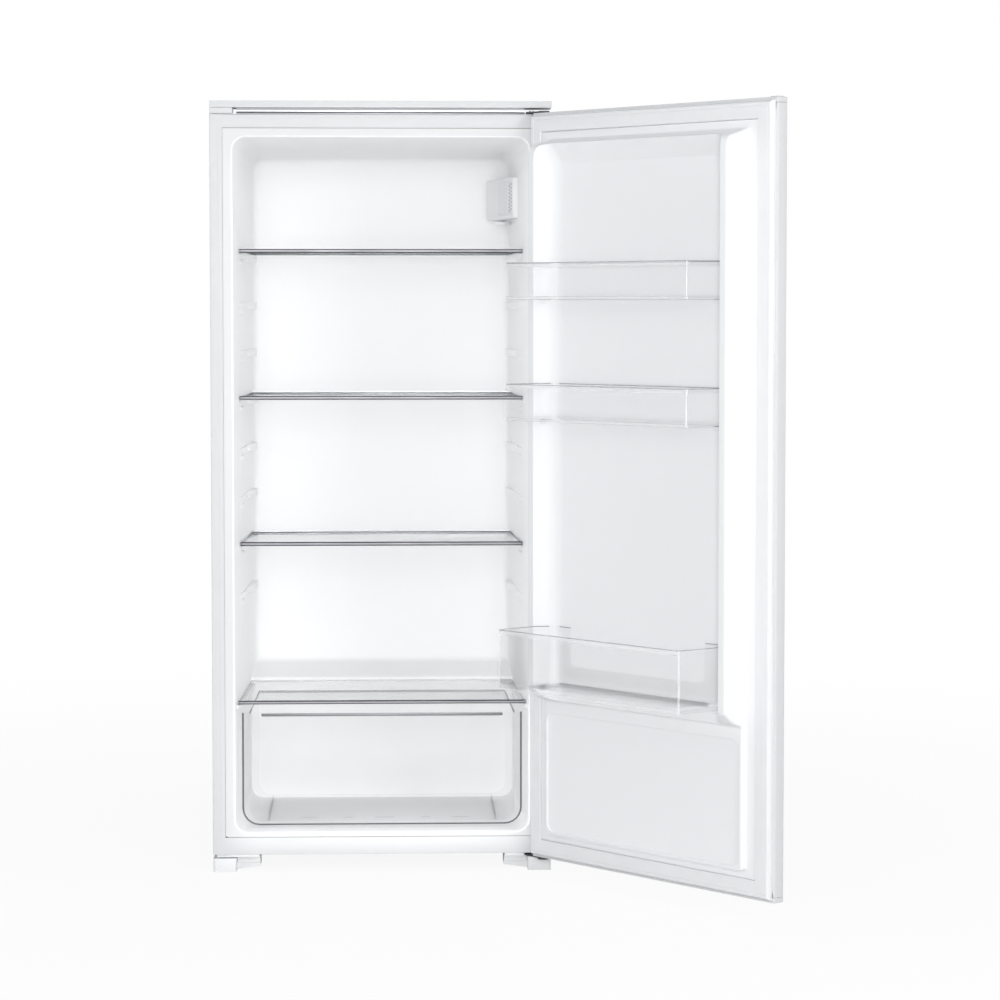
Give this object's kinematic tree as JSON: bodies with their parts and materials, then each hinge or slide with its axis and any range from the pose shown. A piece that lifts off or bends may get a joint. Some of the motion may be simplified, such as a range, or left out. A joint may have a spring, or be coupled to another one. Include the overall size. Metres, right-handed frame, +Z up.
{
  "type": "built-in column refrigerator",
  "caption": "Built-in larder refrigerator for a furniture column, its right-hinged door open, with glass shelves, crisper drawer, door bins and bottle rack.",
  "frame": {"origin": "centre of the base plate's underside, on the plane that the refrigerator stands on", "axes": "+X to the right seen from the front, +Y to the back, +Z up; the cabinet's front frame is at y = -0.4485 m"},
  "size_m": [0.8595, 0.9709, 1.225],
  "materials": {
    "white_painted_steel": "white paint, satin",
    "galvanised_steel": "galvanised",
    "satin_aluminium": "satin",
    "white_moulded_plastic": "moulded, satin",
    "coated_back_panel": "coated",
    "insulating_foam": "rigid foam",
    "shelf_glass": "clear toughened glass",
    "clear_plastic": "clear moulded",
    "grey_rubber": "soft, matt",
    "dark_steel": "dark, satin",
    "black_painted_steel": "black paint",
    "copper_pipe": "bare copper"
  },
  "bodies": {
    "cabinet": {"side_panel_left": "white_painted_steel", "side_panel_right": "white_painted_steel", "top_panel": "white_painted_steel", "top_rail": "white_painted_steel", "bottom_rail": "white_painted_steel", "base_pan": "galvanised_steel", "back_panel": "coated_back_panel", "insulation_foam": "insulating_foam", "inner_liner": "white_moulded_plastic", "top_trim": "white_painted_steel", "hinge_strip": "satin_aluminium", "blanking_cap": "white_painted_steel", "foot_left": "white_moulded_plastic", "foot_right": "white_moulded_plastic", "upper_hinge": "dark_steel", "lower_hinge": "dark_steel", "upper_hinge_screw": "galvanised_steel", "lower_hinge_screw": "galvanised_steel", "base_plate": "galvanised_steel", "compressor": "dark_steel", "relay_box": "white_moulded_plastic", "cord_gland": "grey_rubber", "compressor_mount_left": "grey_rubber", "compressor_mount_right": "grey_rubber", "drip_tray": "white_moulded_plastic", "drain_tube": "white_moulded_plastic", "condenser_tube": "black_painted_steel", "condenser_grid": "black_painted_steel", "discharge_pipe": "copper_pipe", "suction_pipe": "copper_pipe", "evaporator": "satin_aluminium", "control_housing": "white_moulded_plastic", "lamp_lens": "clear_plastic"},
    "door": {"door_skin": "white_painted_steel", "door_cap_top": "white_painted_steel", "door_cap_bottom": "white_painted_steel", "hinge_bush_top": "white_moulded_plastic", "hinge_bush_bottom": "white_moulded_plastic", "door_foam": "insulating_foam", "door_liner": "white_moulded_plastic", "door_gasket": "grey_rubber"},
    "upper_door_bin": {"bin_upper": "clear_plastic"},
    "middle_door_bin": {"bin_middle": "clear_plastic"},
    "door_rack": {"bottle_rack": "clear_plastic"},
    "drawer": {"crisper_drawer": "clear_plastic", "drawer_handle_trim": "satin_aluminium"},
    "upper_shelf": {"shelf_glass_1": "shelf_glass", "shelf_front_trim_1": "satin_aluminium", "shelf_rear_trim_1": "satin_aluminium"},
    "middle_shelf": {"shelf_glass_2": "shelf_glass", "shelf_front_trim_2": "satin_aluminium", "shelf_rear_trim_2": "satin_aluminium"},
    "lower_shelf": {"shelf_glass_3": "shelf_glass", "shelf_front_trim_3": "satin_aluminium", "shelf_rear_trim_3": "satin_aluminium"},
    "cover": {"crisper_cover": "shelf_glass", "crisper_cover_trim": "satin_aluminium"},
    "dial": {"thermostat_dial": "white_moulded_plastic"}
  },
  "joints": [
    {"name": "door_hinge", "type": "hinge", "parent": "cabinet", "child": "door", "pos_m": [0.2564, -0.471, 0.6], "axis": [0, 0, 1], "range_deg": [-128.4, 6.6]},
    {"name": "drawer_slide", "type": "slide", "parent": "cabinet", "child": "drawer", "axis": [0, -1, 0], "range_m": [0, 0.29]},
    {"name": "upper_shelf_slide", "type": "slide", "parent": "cabinet", "child": "upper_shelf", "axis": [0, -1, 0], "range_m": [0, 0.1]},
    {"name": "middle_shelf_slide", "type": "slide", "parent": "cabinet", "child": "middle_shelf", "axis": [0, -1, 0], "range_m": [0, 0.1]},
    {"name": "lower_shelf_slide", "type": "slide", "parent": "cabinet", "child": "lower_shelf", "axis": [0, -1, 0], "range_m": [0, 0.1]},
    {"name": "cover_slide", "type": "slide", "parent": "cabinet", "child": "cover", "axis": [0, -1, 0], "range_m": [0, 0.1]},
    {"name": "upper_bin_lift", "type": "slide", "parent": "door", "child": "upper_door_bin", "axis": [0, 0, 1], "range_m": [0, 0.03]},
    {"name": "middle_bin_lift", "type": "slide", "parent": "door", "child": "middle_door_bin", "axis": [0, 0, 1], "range_m": [0, 0.03]},
    {"name": "rack_lift", "type": "slide", "parent": "door", "child": "door_rack", "axis": [0, 0, 1], "range_m": [0, 0.03]},
    {"name": "thermostat_turn", "type": "hinge", "parent": "cabinet", "child": "dial", "pos_m": [0.20659, -0.0535, 1.0422], "axis": [0, 0, 1], "range_deg": [-150, 150]}
  ]
}
